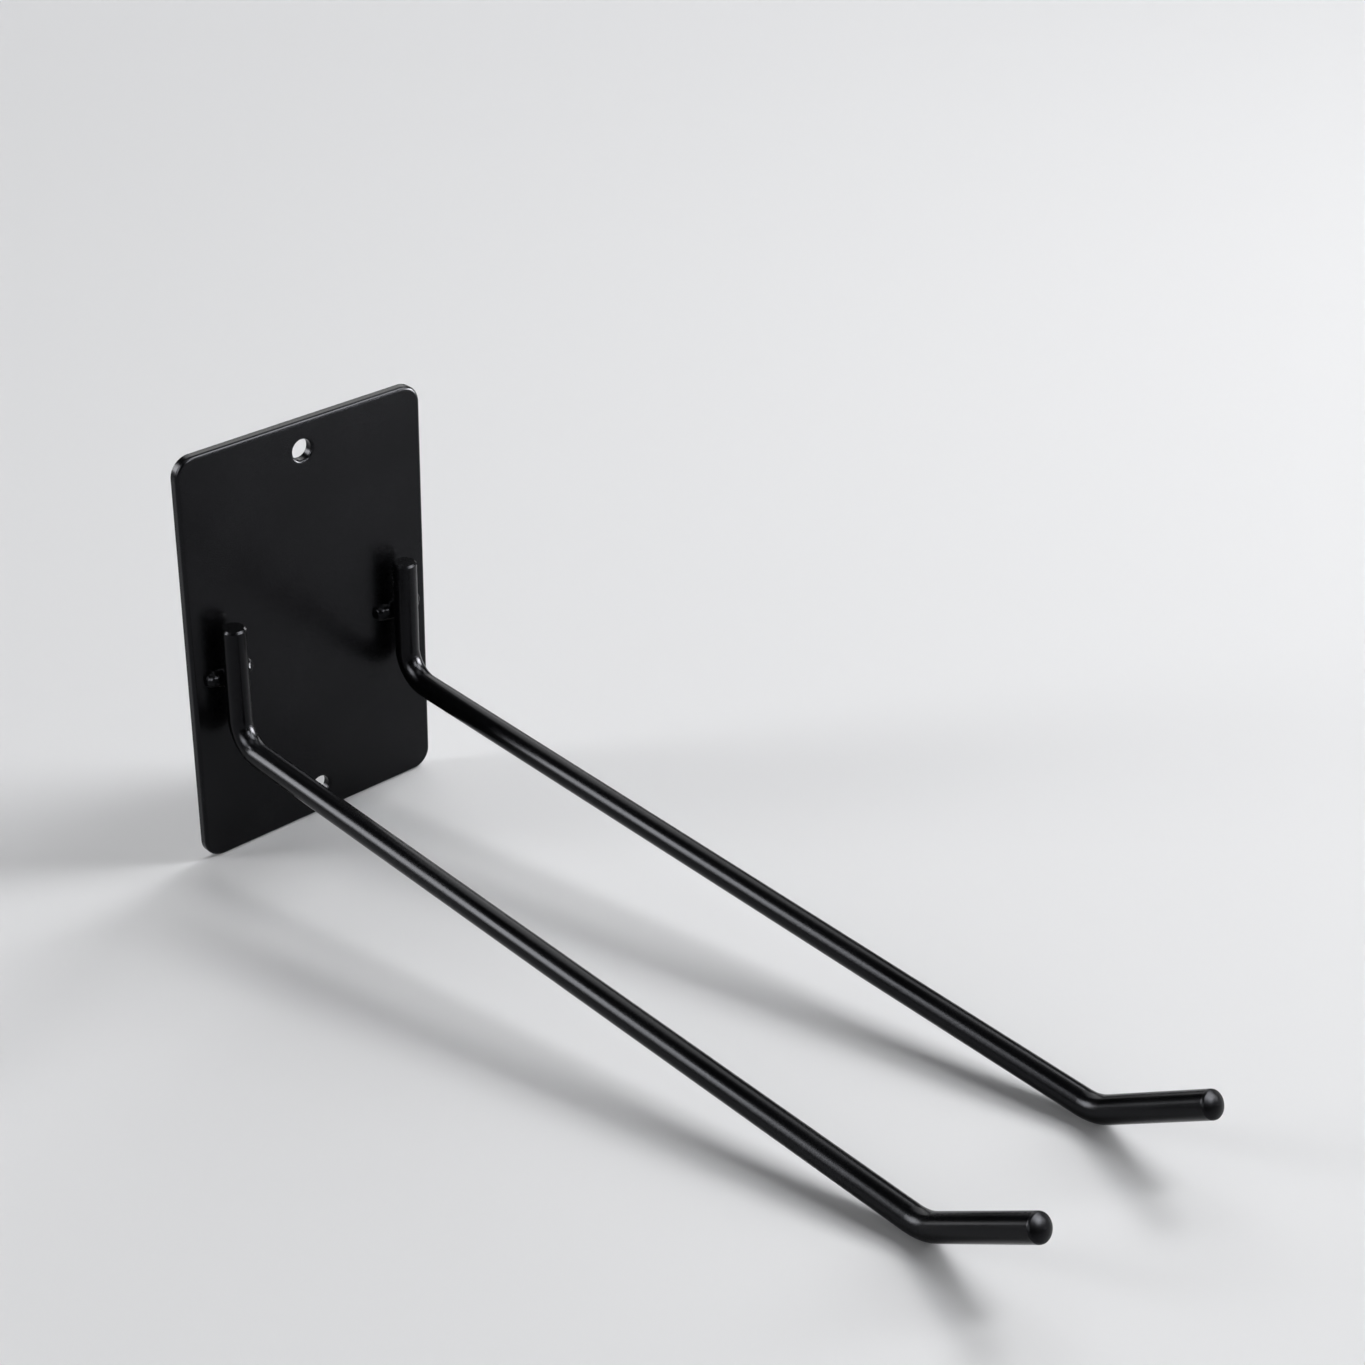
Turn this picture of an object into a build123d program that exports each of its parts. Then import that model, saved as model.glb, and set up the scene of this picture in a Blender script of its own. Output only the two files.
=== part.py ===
from build123d import *
from math import cos, radians, sin
import os

# Double garage hook: a steel back plate that screws to a wall, with two bent wire prongs welded on.
# Millimetres and degrees. The origin is the centre of the plate's back face, in the plane of the wall.
# +Z runs up the wall, +X to the right as seen from the room, and the prongs reach out along -Y.

# Back plate, cut from sheet
plate_width = 70.0
plate_height = 110.0
plate_thickness = 2.4
plate_corner_radius = 5.0
plate_edge_round = 0.9

# Screw holes, one above the prongs and one below, on the plate's centre line
screw_hole_diameter = 5.4
screw_hole_inset = 7.5
screw_hole_round = 0.7

# Prongs, each one length of round wire: a leg along the plate, a long run and a raised, domed tip
wire_diameter = 6.1
prong_spacing = 51.0
leg_rise = 10.5
leg_end_chamfer = 0.5
leg_bend_radius = 8.0
run_drop = 22.0
run_length = 225.0
tip_bend_radius = 11.0
tip_angle = 35.0
tip_length = 31.7
tip_dome_height = 1.3
tip_edge_round = 0.8

# Welds: the gap each bridges, its climb round the wire, its length and its drop below mid-height
weld_gap = 1.3
weld_climb = 1.3
weld_length = 13.0
weld_drop = 4.0

# Places that follow from the sizes above
wire_radius = wire_diameter / 2
plate_front = -plate_thickness
screw_hole_height = plate_height / 2 - screw_hole_inset
leg_axis_y = plate_front - weld_gap - wire_radius
elbow_y = leg_axis_y - run_length
tip_end_y = elbow_y - tip_length * cos(radians(tip_angle))
tip_end_height = tip_length * sin(radians(tip_angle)) - run_drop
weld_radius = weld_gap + weld_climb

os.makedirs("parts", exist_ok=True)

# A flat rounded rectangle with two plain holes; blanking from the front rolls each rim of the front
with BuildPart() as back_plate:
    with BuildSketch(Plane.XZ):
        RectangleRounded(plate_width, plate_height, plate_corner_radius)
        with Locations((0, screw_hole_height), (0, -screw_hole_height)):
            Circle(screw_hole_diameter / 2, mode=Mode.SUBTRACT)
    extrude(amount=plate_thickness)
    front_face = back_plate.faces().sort_by(Axis.Y)[0]
    fillet(front_face.inner_wires().edges(), screw_hole_round)
    front_face = back_plate.faces().sort_by(Axis.Y)[0]
    fillet(front_face.outer_wire().edges(), plate_edge_round)
back_plate.part.label = "back_plate"
export_step(back_plate.part, "parts/back_plate.step")

for side, leg_x in (("left", -prong_spacing / 2), ("right", prong_spacing / 2)):
    # The wire's centre line lies in one upright plane: down the leg, out along the run and up the tip
    with BuildPart() as prong:
        with BuildLine(Plane.YZ.offset(leg_x)) as centre_line:
            FilletPolyline(
                (leg_axis_y, leg_rise),
                (leg_axis_y, -run_drop),
                (elbow_y, -run_drop),
                (tip_end_y, tip_end_height),
                radius=[leg_bend_radius, tip_bend_radius],
            )
        leg_end = centre_line.line @ 0
        tip_end = centre_line.line @ 1
        tip_direction = centre_line.line % 1
        with BuildSketch(Plane(leg_end, x_dir=Axis.X.direction, z_dir=centre_line.line % 0)):
            Circle(wire_radius)
        sweep()
        chamfer(prong.faces().sort_by_distance(leg_end)[0].edges(), leg_end_chamfer)
        # The tip's end is pressed into a low dome with a rounded rim
        tip_side = Axis.X.direction.cross(tip_direction)
        with BuildSketch(Plane(tip_end, x_dir=Axis.X.direction, z_dir=tip_side)):
            with BuildLine():
                dome = SagittaArc((-wire_radius, 0), (wire_radius, 0), tip_dome_height)
                Line(dome @ 1, dome @ 0)
            make_face()
            split(bisect_by=Plane.YZ)
        revolve(axis=Axis(tip_end, tip_direction))
        rims = prong.edges().filter_by(lambda edge: edge.is_closed)
        fillet(rims.sort_by_distance(tip_end)[0], tip_edge_round)
    prong.part.label = f"{side}_prong"
    export_step(prong.part, f"parts/{side}_prong.step")

    # A round-ended bead of weld metal lies across the leg, flat on the plate and hollowed by the wire
    with BuildPart() as weld:
        weld_centre = Vector(leg_x, plate_front, -weld_drop)
        with BuildSketch(Plane(weld_centre, x_dir=Axis.X.direction, z_dir=-Axis.Y.direction)):
            SlotOverall(weld_length, 2 * weld_radius)
            split(bisect_by=Plane.ZX)
        revolve(axis=Axis(weld_centre, Axis.X.direction), revolution_arc=180)
        add(prong.part, mode=Mode.SUBTRACT)
    weld.part.label = f"{side}_weld"
    export_step(weld.part, f"parts/{side}_weld.step")
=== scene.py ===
import math
from typing import NamedTuple

import bmesh
import bpy
from bpy.props import FloatProperty, FloatVectorProperty, IntProperty, PointerProperty
from bpy.types import Operator, Panel, PropertyGroup
from mathutils import Matrix, Vector, noise


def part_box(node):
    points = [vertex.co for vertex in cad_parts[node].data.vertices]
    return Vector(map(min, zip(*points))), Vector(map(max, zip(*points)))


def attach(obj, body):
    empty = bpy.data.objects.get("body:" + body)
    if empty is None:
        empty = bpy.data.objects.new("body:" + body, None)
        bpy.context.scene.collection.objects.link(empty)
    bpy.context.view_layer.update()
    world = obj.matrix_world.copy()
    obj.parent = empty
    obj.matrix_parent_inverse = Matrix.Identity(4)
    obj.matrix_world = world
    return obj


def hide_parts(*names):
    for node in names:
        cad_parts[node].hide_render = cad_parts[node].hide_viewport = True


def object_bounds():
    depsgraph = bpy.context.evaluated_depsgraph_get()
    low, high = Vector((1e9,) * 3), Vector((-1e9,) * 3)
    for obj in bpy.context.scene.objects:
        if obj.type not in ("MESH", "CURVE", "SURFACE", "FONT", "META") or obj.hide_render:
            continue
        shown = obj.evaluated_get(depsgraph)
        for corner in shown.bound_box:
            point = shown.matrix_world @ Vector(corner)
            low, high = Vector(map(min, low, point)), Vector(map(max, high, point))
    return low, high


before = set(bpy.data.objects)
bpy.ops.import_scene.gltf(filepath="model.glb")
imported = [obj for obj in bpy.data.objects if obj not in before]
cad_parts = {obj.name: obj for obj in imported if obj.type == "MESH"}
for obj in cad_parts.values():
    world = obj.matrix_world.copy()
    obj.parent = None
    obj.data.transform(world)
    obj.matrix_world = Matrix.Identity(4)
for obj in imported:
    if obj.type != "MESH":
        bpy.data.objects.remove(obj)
CAD_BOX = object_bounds()

bl_info = {
    "name": "Garage Hook",
    "version": (1, 0, 0),
    "blender": (4, 5, 0),
    "location": "View3D > Sidebar > Garage Hook",
    "description": "Coats a double garage hook in satin black and lays it on a pale studio floor",
    "category": "Object",
}

PLATE = "back_plate"
PRONGS = ("left_prong", "right_prong")
WELDS = ("left_weld", "right_weld")
BODY = "root"
MM = 0.001

# Powder coat
NOISE_LOW, NOISE_HIGH = 0.3, 0.7  # the band that most of a noise pattern lies in
CLOUD_SHEEN = (-0.025, 0.03)  # what a cloud takes from or adds to the roughness
GRAIN_SHEEN = (-0.04, 0.04)  # what a grain takes from or adds to the roughness
PLATE_GRAIN, WIRE_GRAIN, WELD_GRAIN = 0.25, 0.2, 0.5  # height of the grains over the waves'
END_EDGE = 1.8 * MM  # from a tip's end back to where its rougher coat starts
END_FULL = 1.2 * MM  # and to where it is whole

# Weld beads
WELD_SEEDS = (Vector((3.0, 1.0, 7.0)), Vector((11.0, 5.0, 2.0)))  # each bead's own pattern of lumps

# Stage
STEEPEST_TILT = math.radians(30.0)  # more than the floor under the hook ever needs
TILT_STEP = 1e-6  # radians, at which the search for the floor's tilt stops
HORIZON_TOP, CEILING_EDGE = 0.10, 0.50  # sines of the height angles that the light fades between
LAMP_WATTS = 4.0  # power of a square metre of lamp face that is as bright as white
SENSOR_WIDTH = 36.0  # millimetres


class Softbox(NamedTuple):
    """A studio lamp or card, placed by compass angle and height round the spot it points at."""

    name: str
    azimuth: float  # degrees from the hook's right towards the wall side
    elevation: float  # degrees over the floor
    distance: float  # metres from the spot it points at
    width: float  # metres, level
    height: float  # metres, upright
    radiance: float  # brightness of its face, where 1 is white
    on_floor: bool = True  # lights matt surfaces
    in_coat: bool = True  # shows as a reflection in the coat
    aim: float = 0.5  # where along the hook it points: 0 is the tips, 1 the wall
    beam: float = 180.0  # degrees across the beam that its grid lets through


SOFTBOXES = (
    Softbox("Softbox_right_front", -39.0, 38.5, 1.5, 0.41, 1.37, 7.3),
    Softbox("Softbox_right", 9.6, 42.0, 4.2, 1.6, 1.07, 9.8, in_coat=False),
    Softbox("Softbox_right_back", 54.0, 34.0, 5.0, 3.1, 4.0, 1.72),
    Softbox("Softbox_back_left", 140.0, 22.5, 6.0, 1.55, 3.55, 4.6),
    Softbox("Softbox_overhead", 122.0, 67.0, 6.0, 3.7, 2.55, 0.5, in_coat=False),
    Softbox("Card_right", 9.6, 42.0, 2.7, 1.35, 0.69, 5.0, on_floor=False),
    Softbox("Card_back_left", 134.0, 26.5, 6.0, 2.7, 2.6, 12.5, on_floor=False),
    Softbox("Card_back_low", 110.0, 4.5, 6.0, 1.5, 0.84, 4.5, on_floor=False),
    Softbox("Card_right_front", -46.0, 47.0, 3.0, 1.9, 1.2, 11.0, on_floor=False),
    Softbox(
        "Card_right_low", -31.0, 8.0, 0.35, 0.215, 0.14, 65.0, on_floor=False, aim=1.0, beam=60.0
    ),
    Softbox(
        "Card_left", -167.0, 27.0, 0.55, 0.32, 0.50, 19.0, on_floor=False, aim=1.0, beam=48.0
    ),
    Softbox(
        "Card_left_high", 160.0, 46.0, 0.55, 0.26, 0.12, 26.0, on_floor=False, aim=1.0, beam=24.0
    ),
    Softbox("Card_front", -66.0, 52.0, 0.35, 0.16, 0.20, 17.0, on_floor=False, aim=0.0),
    Softbox("Card_overhead", -100.0, 80.0, 3.0, 1.3, 1.3, 2.0, on_floor=False),
)


class HookCoatSettings(PropertyGroup):
    """Colour and texture of the powder coat."""

    colour: FloatVectorProperty(
        name="Coat Colour",
        description="Colour of the black powder coat",
        subtype="COLOR",
        size=3,
        min=0.0,
        max=1.0,
        default=(0.0006, 0.0006, 0.0008),
    )
    haze_colour: FloatVectorProperty(
        name="Haze Colour",
        description="Colour where the coat is thinner or carries a little dust",
        subtype="COLOR",
        size=3,
        min=0.0,
        max=1.0,
        default=(0.0014, 0.0014, 0.0018),
    )
    glint_colour: FloatVectorProperty(
        name="Glint Colour",
        description="Tint of what the coat reflects",
        subtype="COLOR",
        size=3,
        min=0.0,
        max=1.0,
        default=(0.90, 0.92, 1.0),
    )
    plate_gloss: FloatProperty(
        name="Plate Gloss",
        description="Specular level of the coat on the flat plate",
        subtype="FACTOR",
        min=0.0,
        max=1.0,
        default=0.168,
    )
    wire_gloss: FloatProperty(
        name="Wire Gloss",
        description="Specular level of the coat on the prongs",
        subtype="FACTOR",
        min=0.0,
        max=1.0,
        default=0.14,
    )
    weld_gloss: FloatProperty(
        name="Weld Gloss",
        description="Specular level of the coat on the weld beads",
        subtype="FACTOR",
        min=0.0,
        max=1.0,
        default=0.095,
    )
    plate_roughness: FloatProperty(
        name="Plate Roughness",
        description="Roughness of the coat on the flat plate",
        subtype="FACTOR",
        min=0.0,
        max=1.0,
        default=0.25,
    )
    wire_roughness: FloatProperty(
        name="Wire Roughness",
        description="Roughness of the coat on the prongs",
        subtype="FACTOR",
        min=0.0,
        max=1.0,
        default=0.24,
    )
    end_roughness: FloatProperty(
        name="End Roughness",
        description="Roughness of the coat on the pressed ends of the tips",
        subtype="FACTOR",
        min=0.0,
        max=1.0,
        default=0.34,
    )
    tip_angle: FloatProperty(
        name="Tip Angle",
        description="Rise of the tips, which places the rougher coat on their ends",
        unit="ROTATION",
        default=math.radians(35.0),
    )
    weld_roughness: FloatProperty(
        name="Weld Roughness",
        description="Roughness of the coat on the weld beads",
        subtype="FACTOR",
        min=0.0,
        max=1.0,
        default=0.26,
    )
    peel_size: FloatProperty(
        name="Peel Size",
        description="Width of the gentle waves in the cured coat",
        unit="LENGTH",
        min=0.0001,
        default=1.6 * MM,
    )
    grain_size: FloatProperty(
        name="Grain Size",
        description="Width of the fine grains of powder that show in the coat",
        unit="LENGTH",
        min=0.00005,
        default=0.22 * MM,
    )
    cloud_size: FloatProperty(
        name="Cloud Size",
        description="Width of the broad patches where the sheen changes a little",
        unit="LENGTH",
        min=0.001,
        default=24.0 * MM,
    )
    relief: FloatProperty(
        name="Relief",
        description="Height of the coat's waves and grains",
        unit="LENGTH",
        min=0.0,
        default=0.012 * MM,
    )


class HookWeldSettings(PropertyGroup):
    """Form of the two weld beads."""

    bluntness: FloatProperty(
        name="Bluntness",
        description="How square the ends of a bead are; 2 is an ellipse",
        min=1.5,
        max=6.0,
        default=3.2,
    )
    overrun: FloatProperty(
        name="Overrun",
        description="How far the torch carried a bead on past its right end",
        unit="LENGTH",
        min=0.0,
        default=0.6 * MM,
    )
    lump_size: FloatProperty(
        name="Lump Size",
        description="Width of the lumps that the weld pool froze into",
        unit="LENGTH",
        min=0.0002,
        default=2.4 * MM,
    )
    lump_height: FloatProperty(
        name="Lump Height",
        description="Height of those lumps",
        unit="LENGTH",
        min=0.0,
        default=0.55 * MM,
    )
    bubble_size: FloatProperty(
        name="Bubble Size",
        description="Width of the small bumps on those lumps",
        unit="LENGTH",
        min=0.0002,
        default=1.1 * MM,
    )
    bubble_height: FloatProperty(
        name="Bubble Height",
        description="Height of those bumps",
        unit="LENGTH",
        min=0.0,
        default=0.12 * MM,
    )
    ripple_pitch: FloatProperty(
        name="Ripple Pitch",
        description="Step of the ripples along a bead",
        unit="LENGTH",
        min=0.0002,
        default=1.5 * MM,
    )
    ripple_height: FloatProperty(
        name="Ripple Height",
        description="Height of those ripples",
        unit="LENGTH",
        min=0.0,
        default=0.05 * MM,
    )
    detail: IntProperty(
        name="Detail",
        description="Subdivision steps of a bead's mesh",
        min=3,
        max=7,
        default=6,
    )


class HookStageSettings(PropertyGroup):
    """Floor, backdrop light and camera."""

    floor_colour: FloatVectorProperty(
        name="Floor Colour",
        description="Colour of the matt floor",
        subtype="COLOR",
        size=3,
        min=0.0,
        max=1.0,
        default=(0.78, 0.785, 0.80),
    )
    floor_size: FloatProperty(
        name="Floor Size",
        description="Side of the square floor",
        unit="LENGTH",
        min=1.0,
        default=9.0,
    )
    backdrop_level: FloatProperty(
        name="Backdrop Level",
        description="Brightness of the backdrop seen behind the floor, where 1 is white",
        min=0.0,
        max=1.0,
        default=0.65,
    )
    horizon_level: FloatProperty(
        name="Horizon Level",
        description="Brightness of the light from near the horizon, where 1 is white",
        min=0.0,
        default=0.01,
    )
    ceiling_level: FloatProperty(
        name="Ceiling Level",
        description="Brightness of the light from overhead, where 1 is white",
        min=0.0,
        default=0.0015,
    )
    lamp_level: FloatProperty(
        name="Lamp Level",
        description="Brightness of all the lamps together",
        min=0.0,
        default=1.0,
    )
    azimuth: FloatProperty(
        name="View Azimuth",
        description="Camera's turn round the hook; 0 faces the plate",
        unit="ROTATION",
        default=math.radians(-43.908),
    )
    elevation: FloatProperty(
        name="View Elevation",
        description="Camera's height angle over the prongs",
        unit="ROTATION",
        default=math.radians(30.974),
    )
    roll: FloatProperty(
        name="View Roll",
        description="Camera's turn about its own line of sight",
        unit="ROTATION",
        default=math.radians(1.787),
    )
    distance: FloatProperty(
        name="View Distance",
        description="Camera's distance from the plate, along its line of sight",
        unit="LENGTH",
        default=628.496 * MM,
    )
    shift_right: FloatProperty(
        name="View Offset Right",
        description="How far the line of sight passes to the right of the plate's middle",
        unit="LENGTH",
        default=92.790 * MM,
    )
    shift_up: FloatProperty(
        name="View Offset Up",
        description="How far the line of sight passes over the plate's middle",
        unit="LENGTH",
        default=-15.198 * MM,
    )
    lens: FloatProperty(
        name="Lens",
        description="Focal length in millimetres, on a sensor 36 mm wide",
        min=1.0,
        default=67.137,
    )


def points_of(*names):
    """Mesh points of the named solids of the frame."""
    return [vert.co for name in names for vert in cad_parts[name].data.vertices]


def placed(origin, right, up, outward):
    """Matrix of something at an origin, with its own axes along three directions."""
    turn = Matrix((right, up, outward)).transposed().to_4x4()
    return Matrix.Translation(origin) @ turn


def powder_coat_group():
    """Node group for a cured powder coat: clouded colour, uneven sheen, waves and fine grain."""
    found = bpy.data.node_groups.get("Powder_coat")
    if found:
        return found
    group = bpy.data.node_groups.new("Powder_coat", "ShaderNodeTree")

    def sockets(in_out, kind, *names):
        for name in names:
            group.interface.new_socket(name=name, in_out=in_out, socket_type=kind)

    sockets("INPUT", "NodeSocketColor", "Colour", "Haze Colour")
    sockets("INPUT", "NodeSocketFloat", "Roughness", "Grain Share")
    sockets("INPUT", "NodeSocketFloat", "Peel Scale", "Grain Scale", "Cloud Scale")
    sockets("OUTPUT", "NodeSocketColor", "Colour")
    sockets("OUTPUT", "NodeSocketFloat", "Roughness", "Height")
    nodes, links = group.nodes, group.links
    given = nodes.new("NodeGroupInput")
    result = nodes.new("NodeGroupOutput")
    place = nodes.new("ShaderNodeTexCoord")

    def pattern(scale_name, detail):
        made = nodes.new("ShaderNodeTexNoise")
        made.inputs["Detail"].default_value = detail
        links.new(place.outputs["Object"], made.inputs["Vector"])
        links.new(given.outputs[scale_name], made.inputs["Scale"])
        return made.outputs["Fac"]

    def remap(value, low, high):
        made = nodes.new("ShaderNodeMapRange")
        made.inputs["From Min"].default_value = NOISE_LOW
        made.inputs["From Max"].default_value = NOISE_HIGH
        made.inputs["To Min"].default_value = low
        made.inputs["To Max"].default_value = high
        links.new(value, made.inputs["Value"])
        return made.outputs["Result"]

    def maths(operation, first, second):
        made = nodes.new("ShaderNodeMath")
        made.operation = operation
        for value, entry in zip((first, second), made.inputs):
            links.new(value, entry)
        return made.outputs["Value"]

    cloud = pattern("Cloud Scale", detail=3.0)
    peel = pattern("Peel Scale", detail=1.0)
    grain = pattern("Grain Scale", detail=2.0)

    tint = nodes.new("ShaderNodeMix")
    tint.data_type = "RGBA"
    links.new(remap(cloud, 0.0, 1.0), tint.inputs["Factor"])
    links.new(given.outputs["Colour"], tint.inputs["A"])
    links.new(given.outputs["Haze Colour"], tint.inputs["B"])
    links.new(tint.outputs["Result"], result.inputs["Colour"])

    sheen = maths("ADD", remap(cloud, *CLOUD_SHEEN), remap(grain, *GRAIN_SHEEN))
    links.new(maths("ADD", given.outputs["Roughness"], sheen), result.inputs["Roughness"])

    fine = maths("MULTIPLY", grain, given.outputs["Grain Share"])
    links.new(maths("ADD", peel, fine), result.inputs["Height"])
    return group


def coat_material(name, coat, gloss, roughness, grain_share):
    """A powder-coated finish with its own gloss, roughness and grain."""
    material = bpy.data.materials.new(name)
    material.use_nodes = True
    nodes, links = material.node_tree.nodes, material.node_tree.links
    surface = nodes["Principled BSDF"]
    surface.inputs["Specular IOR Level"].default_value = gloss
    surface.inputs["Specular Tint"].default_value = (*coat.glint_colour, 1.0)
    skin = nodes.new("ShaderNodeGroup")
    skin.node_tree = powder_coat_group()
    skin.inputs["Colour"].default_value = (*coat.colour, 1.0)
    skin.inputs["Haze Colour"].default_value = (*coat.haze_colour, 1.0)
    skin.inputs["Roughness"].default_value = roughness
    skin.inputs["Peel Scale"].default_value = 1.0 / coat.peel_size
    skin.inputs["Grain Scale"].default_value = 1.0 / coat.grain_size
    skin.inputs["Cloud Scale"].default_value = 1.0 / coat.cloud_size
    skin.inputs["Grain Share"].default_value = grain_share
    bump = nodes.new("ShaderNodeBump")
    bump.inputs["Distance"].default_value = coat.relief
    links.new(skin.outputs["Colour"], surface.inputs["Base Color"])
    links.new(skin.outputs["Roughness"], surface.inputs["Roughness"])
    links.new(skin.outputs["Height"], bump.inputs["Height"])
    links.new(bump.outputs["Normal"], surface.inputs["Normal"])
    return material


def roughen_ends(material, coat):
    """Makes the coat rougher on the pressed ends of the two tips."""
    along = Vector((0.0, -math.cos(coat.tip_angle), math.sin(coat.tip_angle)))
    reach = max(point.dot(along) for point in points_of(*PRONGS))
    nodes, links = material.node_tree.nodes, material.node_tree.links
    entry = nodes["Principled BSDF"].inputs["Roughness"]
    place = nodes.new("ShaderNodeTexCoord")
    advance = nodes.new("ShaderNodeVectorMath")
    advance.operation = "DOT_PRODUCT"
    advance.inputs[1].default_value = along
    end = nodes.new("ShaderNodeMapRange")
    end.inputs["From Min"].default_value = reach - END_EDGE
    end.inputs["From Max"].default_value = reach - END_FULL
    end.inputs["To Max"].default_value = coat.end_roughness - coat.wire_roughness
    total = nodes.new("ShaderNodeMath")
    links.new(place.outputs["Object"], advance.inputs[0])
    links.new(advance.outputs["Value"], end.inputs["Value"])
    links.new(entry.links[0].from_socket, total.inputs[0])
    links.new(end.outputs["Result"], total.inputs[1])
    links.new(total.outputs["Value"], entry)


def coat_node(name, material):
    """Gives a solid of the frame its finish, in the slot that it already has."""
    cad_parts[name].material_slots[0].material = material


def piece_from(shape, name):
    """Turns a finished bmesh into an object of the scene."""
    mesh = bpy.data.meshes.new(name)
    shape.to_mesh(mesh)
    shape.free()
    made = bpy.data.objects.new(name, mesh)
    bpy.context.scene.collection.objects.link(made)
    return made


class HOOK_OT_coat_plate(Operator):
    """Coat the back plate"""

    bl_idname = "garage_hook.coat_plate"
    bl_label = "Coat Plate"

    def execute(self, context):
        coat = context.scene.hook_coat
        material = coat_material(
            "Plate_coat_black", coat, coat.plate_gloss, coat.plate_roughness, PLATE_GRAIN
        )
        coat_node(PLATE, material)
        return {"FINISHED"}


class HOOK_OT_coat_prongs(Operator):
    """Coat the two wire prongs"""

    bl_idname = "garage_hook.coat_prongs"
    bl_label = "Coat Prongs"

    def execute(self, context):
        coat = context.scene.hook_coat
        material = coat_material(
            "Wire_coat_black", coat, coat.wire_gloss, coat.wire_roughness, WIRE_GRAIN
        )
        roughen_ends(material, coat)
        for name in PRONGS:
            coat_node(name, material)
        return {"FINISHED"}


def bead_mesh(low, high, leg, wire_radius, weld, seed):
    """A lumpy weld bead in its own box, flat on the plate and hollowed by the leg that it holds."""
    middle = Vector(((low.x + high.x) / 2, high.y, (low.z + high.z) / 2))
    half = Vector(((high.x - low.x) / 2, high.y - low.y, (high.z - low.z) / 2))
    bead = bmesh.new()
    bmesh.ops.create_icosphere(bead, subdivisions=weld.detail, radius=1.0)
    power = weld.bluntness
    for vert in bead.verts:
        unit = vert.co.normalized()
        across = math.hypot(unit.y, unit.z)
        unit *= (abs(unit.x) ** power + across**power) ** (-1.0 / power)
        spot = Vector((unit.x * half.x, unit.y * half.y, unit.z * half.z))
        lump = noise.noise(spot / weld.lump_size + seed) * weld.lump_height
        lump += noise.noise(spot / weld.bubble_size + seed) * weld.bubble_height
        along = spot.x - abs(spot.z) / 2
        ripple = math.sin(2 * math.pi * along / weld.ripple_pitch) * weld.ripple_height
        spot += spot.normalized() * (lump + ripple - weld.ripple_height)
        spot.x += weld.overrun * (1.0 + unit.x) / 2
        vert.co = middle + spot
    whole = bead.verts[:] + bead.edges[:] + bead.faces[:]
    bmesh.ops.bisect_plane(bead, geom=whole, plane_co=middle, plane_no=(0, 1, 0), clear_outer=True)
    bmesh.ops.holes_fill(bead, edges=[edge for edge in bead.edges if edge.is_boundary])
    for vert in bead.verts:
        away = Vector((vert.co.x - leg.x, vert.co.y - leg.y, 0.0))
        if away.length < wire_radius and vert.co.y < middle.y:
            vert.co += away.normalized() * (wire_radius - away.length)
    bmesh.ops.recalc_face_normals(bead, faces=bead.faces)
    for face in bead.faces:
        face.smooth = True
    return bead


class HOOK_OT_lay_welds(Operator):
    """Lay the lumpy weld beads between the plate and the legs"""

    bl_idname = "garage_hook.lay_welds"
    bl_label = "Lay Welds"

    def execute(self, context):
        coat, weld = context.scene.hook_coat, context.scene.hook_weld
        material = coat_material(
            "Weld_coat_black", coat, coat.weld_gloss, coat.weld_roughness, WELD_GRAIN
        )
        for node, prong, seed in zip(WELDS, PRONGS, WELD_SEEDS):
            low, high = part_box(node)
            prong_low, prong_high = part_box(prong)
            wire_radius = (prong_high.x - prong_low.x) / 2
            leg = Vector(((prong_low.x + prong_high.x) / 2, prong_high.y - wire_radius, 0.0))
            piece = piece_from(bead_mesh(low, high, leg, wire_radius, weld, seed), node + "_bead")
            piece.data.materials.append(material)
            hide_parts(node)
            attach(piece, BODY)
        return {"FINISHED"}


def lowest(points, tilt):
    """How low a set of points reaches over a floor that rises towards the front by a tilt."""
    return min(point.y * math.sin(tilt) + point.z * math.cos(tilt) for point in points)


def resting_floor():
    """Matrix of the floor that the plate's lower edge and the prongs' outer bends lie on."""
    plate, prongs = points_of(PLATE), points_of(*PRONGS)
    low, high = 0.0, STEEPEST_TILT
    while high - low > TILT_STEP:
        tilt = (low + high) / 2
        if lowest(prongs, tilt) > lowest(plate, tilt):
            low = tilt
        else:
            high = tilt
    up = Vector((0.0, math.sin(tilt), math.cos(tilt)))
    back = Vector((0.0, math.cos(tilt), -math.sin(tilt)))
    return placed(up * lowest(plate, tilt), Vector((1.0, 0.0, 0.0)), back, up)


def floor_material(colour):
    """Matt pale floor that shows from above only, so that low views of the hook stay open."""
    material = bpy.data.materials.new("Floor_pale")
    material.use_nodes = True
    nodes, links = material.node_tree.nodes, material.node_tree.links
    surface = nodes["Principled BSDF"]
    surface.inputs["Base Color"].default_value = (*colour, 1.0)
    surface.inputs["Roughness"].default_value = 0.9
    surface.inputs["Specular IOR Level"].default_value = 0.0
    side = nodes.new("ShaderNodeNewGeometry")
    clear = nodes.new("ShaderNodeBsdfTransparent")
    mix = nodes.new("ShaderNodeMixShader")
    links.new(side.outputs["Backfacing"], mix.inputs["Fac"])
    links.new(surface.outputs["BSDF"], mix.inputs[1])
    links.new(clear.outputs["BSDF"], mix.inputs[2])
    links.new(mix.outputs["Shader"], nodes["Material Output"].inputs["Surface"])
    return material


def lay_floor(stage, floor):
    """Pale floor under the hook."""
    sheet = bmesh.new()
    bmesh.ops.create_grid(sheet, x_segments=1, y_segments=1, size=stage.floor_size / 2)
    bmesh.ops.transform(sheet, matrix=floor, verts=sheet.verts)
    ground = piece_from(sheet, "Floor")
    ground.data.materials.append(floor_material(stage.floor_colour))


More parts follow.
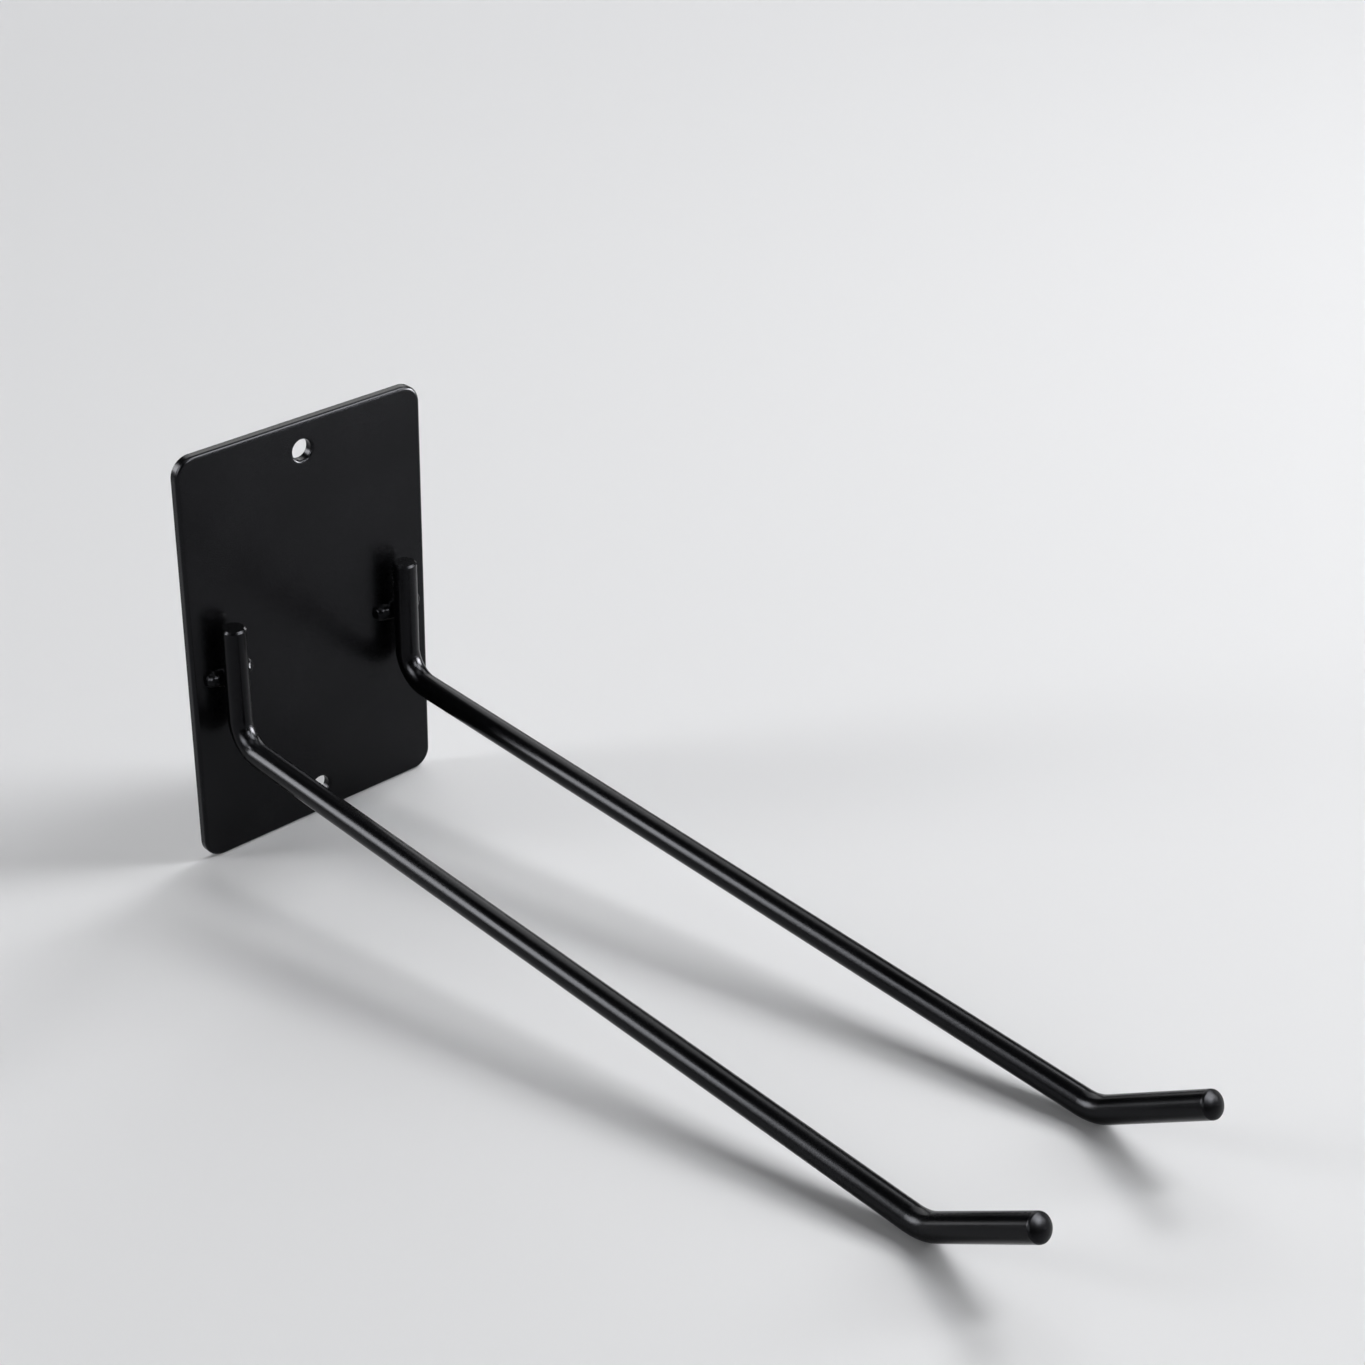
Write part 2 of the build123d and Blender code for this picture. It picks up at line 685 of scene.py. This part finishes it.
def light_surroundings(stage):
    """Pale backdrop behind the floor, and a faint light that fades from the horizon upwards."""
    world = bpy.data.worlds.new("Studio")
    world.use_nodes = True
    nodes, links = world.node_tree.nodes, world.node_tree.links
    nodes["Background"].inputs["Color"].default_value = (1.0, 1.0, 1.0, 1.0)
    place = nodes.new("ShaderNodeTexCoord")
    split = nodes.new("ShaderNodeSeparateXYZ")
    fade = nodes.new("ShaderNodeMapRange")
    fade.interpolation_type = "SMOOTHSTEP"
    fade.inputs["From Min"].default_value = HORIZON_TOP
    fade.inputs["From Max"].default_value = CEILING_EDGE
    fade.inputs["To Min"].default_value = stage.horizon_level
    fade.inputs["To Max"].default_value = stage.ceiling_level
    seen = nodes.new("ShaderNodeLightPath")
    level = nodes.new("ShaderNodeMix")
    level.inputs["B"].default_value = stage.backdrop_level
    links.new(place.outputs["Generated"], split.inputs["Vector"])
    links.new(split.outputs["Z"], fade.inputs["Value"])
    links.new(seen.outputs["Is Camera Ray"], level.inputs["Factor"])
    links.new(fade.outputs["Result"], level.inputs["A"])
    links.new(level.outputs["Result"], nodes["Background"].inputs["Strength"])
    bpy.context.scene.world = world


def hang_softboxes(stage, floor):
    """Soft lamps round the hook, each turned to face its own spot on it."""
    low, high = CAD_BOX
    for box in SOFTBOXES:
        azimuth, elevation = math.radians(box.azimuth), math.radians(box.elevation)
        level = math.cos(elevation)
        outward = floor.to_3x3() @ Vector(
            (math.cos(azimuth) * level, math.sin(azimuth) * level, math.sin(elevation))
        )
        spot = (low + high) / 2
        spot.y = low.y + (high.y - low.y) * box.aim
        half_beam = math.radians(box.beam) / 2
        lamp = bpy.data.lights.new(box.name, "AREA")
        lamp.shape = "RECTANGLE"
        lamp.size, lamp.size_y = box.width, box.height
        lamp.spread = 2 * half_beam
        # A grid gathers a lamp's power into its beam, so less power keeps its face as bright
        held = 1.0 - half_beam / math.tan(half_beam)
        watts = LAMP_WATTS * box.width * box.height * box.radiance
        lamp.energy = watts * held * stage.lamp_level
        hung = bpy.data.objects.new(box.name, lamp)
        across = floor.col[2].xyz.cross(outward).normalized()
        spot += outward * box.distance
        hung.matrix_world = placed(spot, across, outward.cross(across), outward)
        hung.visible_camera = False
        hung.visible_diffuse = box.on_floor
        hung.visible_glossy = box.in_coat
        bpy.context.scene.collection.objects.link(hung)


def set_camera(stage):
    """Camera at the picture's viewing angle."""
    turn, level = stage.azimuth, math.cos(stage.elevation)
    outward = Vector((math.sin(turn) * level, -math.cos(turn) * level, math.sin(stage.elevation)))
    right = Matrix.Rotation(stage.roll, 3, outward) @ Vector((math.cos(turn), math.sin(turn), 0.0))
    up = outward.cross(right)
    data = bpy.data.cameras.new("Camera")
    data.sensor_width = SENSOR_WIDTH
    data.lens = stage.lens
    camera = bpy.data.objects.new("Camera", data)
    spot = right * stage.shift_right + up * stage.shift_up + outward * stage.distance
    camera.matrix_world = placed(spot, right, up, outward)
    bpy.context.scene.collection.objects.link(camera)
    bpy.context.scene.camera = camera


class HOOK_OT_set_stage(Operator):
    """Lay the floor, hang the lamps and place the camera"""

    bl_idname = "garage_hook.set_stage"
    bl_label = "Set Stage"

    def execute(self, context):
        stage = context.scene.hook_stage
        floor = resting_floor()
        lay_floor(stage, floor)
        light_surroundings(stage)
        hang_softboxes(stage, floor)
        set_camera(stage)
        context.scene.view_settings.view_transform = "Standard"
        return {"FINISHED"}


SETTINGS = {
    "hook_coat": HookCoatSettings,
    "hook_weld": HookWeldSettings,
    "hook_stage": HookStageSettings,
}
STEPS = (HOOK_OT_coat_plate, HOOK_OT_coat_prongs, HOOK_OT_lay_welds, HOOK_OT_set_stage)


class HOOK_PT_panel(Panel):
    """Sidebar panel that lists the hook's settings and steps"""

    bl_idname = "HOOK_PT_panel"
    bl_label = "Garage Hook"
    bl_space_type = "VIEW_3D"
    bl_region_type = "UI"
    bl_category = "Garage Hook"

    def draw(self, context):
        for name in SETTINGS:
            settings = getattr(context.scene, name)
            for key in settings.bl_rna.properties.keys():
                if key not in ("rna_type", "name"):
                    self.layout.prop(settings, key)
        for step in STEPS:
            self.layout.operator(step.bl_idname)


CLASSES = (*SETTINGS.values(), *STEPS, HOOK_PT_panel)


def register():
    for cls in CLASSES:
        bpy.utils.register_class(cls)
    for name, cls in SETTINGS.items():
        setattr(bpy.types.Scene, name, PointerProperty(type=cls))


def unregister():
    for name in SETTINGS:
        delattr(bpy.types.Scene, name)
    for cls in reversed(CLASSES):
        bpy.utils.unregister_class(cls)


def main():
    register()
    bpy.ops.garage_hook.coat_plate()
    bpy.ops.garage_hook.coat_prongs()
    bpy.ops.garage_hook.lay_welds()
    bpy.ops.garage_hook.set_stage()


if __name__ == "__main__":
    main()
